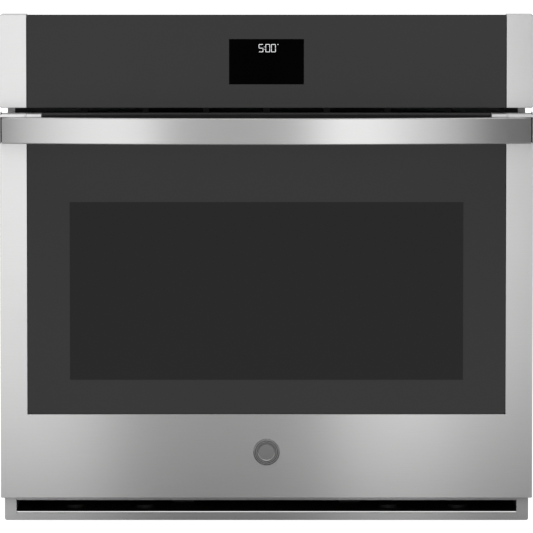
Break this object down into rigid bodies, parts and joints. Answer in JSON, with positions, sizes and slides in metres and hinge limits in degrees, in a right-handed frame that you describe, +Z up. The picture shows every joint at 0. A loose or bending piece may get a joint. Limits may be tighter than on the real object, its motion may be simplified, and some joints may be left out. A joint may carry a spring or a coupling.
{
  "type": "wall oven",
  "caption": "Built-in electric wall oven with a glass control panel, a drop-down glass door with a full-width bowed handle, sliding racks and a convection fan.",
  "frame": {"origin": "middle of the overall box, at the height of the lower trim's bottom edge", "axes": "+X to the right as seen from the front, +Y to the rear, +Z up; the door faces -Y"},
  "size_m": [0.756, 0.6799, 0.724],
  "materials": {
    "stainless": "brushed satin",
    "control_glass": "gloss, printed dark grey",
    "door_glass": "gloss, printed dark grey",
    "clear_glass": "clear heat-resistant",
    "galvanised": "galvanised sheet",
    "enamel": "speckled porcelain enamel",
    "black_paint": "satin black",
    "wire": "nickel plated wire",
    "element": "oxidised heating tube",
    "wool": "fibre blanket",
    "gasket": "braided glass fibre",
    "motor": "lacquered laminations",
    "ceramic": "matt",
    "bulb": "frosted",
    "board": "circuit board with parts",
    "black_plastic": "moulded",
    "white_plastic": "moulded",
    "plated": "zinc plated",
    "badge": "satin with a polished rim"
  },
  "bodies": {
    "chassis": {"base_pan": "black_paint", "left_side_panel": "galvanised", "right_side_panel": "galvanised", "rear_panel": "galvanised", "top_front_cover": "galvanised", "top_rear_cover": "galvanised", "front_frame": "stainless", "lower_trim": "stainless", "vent_louvre": "black_paint", "air_duct": "galvanised", "cavity_liner": "enamel", "rack_guides": "wire", "cavity_gasket": "gasket", "insulation_blanket": "wool", "broil_element": "element", "bake_element": "element", "convection_cover": "enamel", "convection_element": "element", "convection_motor": "motor", "lamp_lens": "clear_glass", "lamp_bulb": "bulb", "lamp_socket": "ceramic", "temperature_sensor": "element", "blower_housing": "galvanised", "blower_motor": "motor", "control_glass": "control_glass", "left_panel_cap": "stainless", "right_panel_cap": "stainless", "panel_bracket": "galvanised", "display_board": "board", "relay_board": "board", "latch_bracket": "galvanised", "latch_motor": "motor", "door_switch": "black_plastic", "hinge_receivers": "galvanised", "hinge_arms": "plated", "junction_box": "galvanised", "conduit_bushing": "black_plastic", "chassis_screws": "plated"},
    "door": {"door_skin": "stainless", "door_glass": "door_glass", "door_inner_panel": "enamel", "middle_glass": "clear_glass", "inner_glass": "clear_glass", "window_frame": "black_paint", "door_insulation": "wool", "door_top_strips": "enamel", "door_top_trim": "black_paint", "handle_bar": "stainless", "handle_brackets": "stainless", "handle_screws": "plated", "badge": "badge", "hinge_channels": "plated", "hinge_springs": "plated"},
    "rack_lower": {"rack_lower": "wire"},
    "rack_upper": {"rack_upper": "wire"},
    "convection_fan": {"convection_fan": "plated"},
    "blower_wheel": {"blower_wheel": "plated"},
    "latch_hook": {"latch_hook": "plated"},
    "switch_plunger": {"switch_plunger": "white_plastic"}
  },
  "joints": [
    {"name": "door_hinge", "type": "hinge", "parent": "chassis", "child": "door", "pos_m": [0, -0.24, 0.047], "axis": [1, 0, 0], "range_deg": [0, 90], "stiffness_Nm_per_rad": 20, "springref_deg": -22.92},
    {"name": "rack_lower_slide", "type": "slide", "parent": "chassis", "child": "rack_lower", "axis": [0, -1, 0], "range_m": [0, 0.04]},
    {"name": "rack_upper_slide", "type": "slide", "parent": "chassis", "child": "rack_upper", "axis": [0, -1, 0], "range_m": [0, 0.04]},
    {"name": "convection_fan_spin", "type": "hinge", "parent": "chassis", "child": "convection_fan", "pos_m": [0, 0.25, 0.31], "axis": [0, 1, 0], "continuous": true},
    {"name": "blower_spin", "type": "hinge", "parent": "chassis", "child": "blower_wheel", "pos_m": [0, 0.14, 0.617], "axis": [1, 0, 0], "continuous": true},
    {"name": "latch_slide", "type": "slide", "parent": "chassis", "child": "latch_hook", "axis": [1, 0, 0], "range_m": [0, 0.012]},
    {"name": "switch_plunger_slide", "type": "slide", "parent": "chassis", "child": "switch_plunger", "axis": [0, -1, 0], "range_m": [0, 0.006]}
  ],
  "couplings": [
    {"joint": "switch_plunger_slide", "follows": "door_hinge", "m_per_rad": 0.0038}
  ]
}
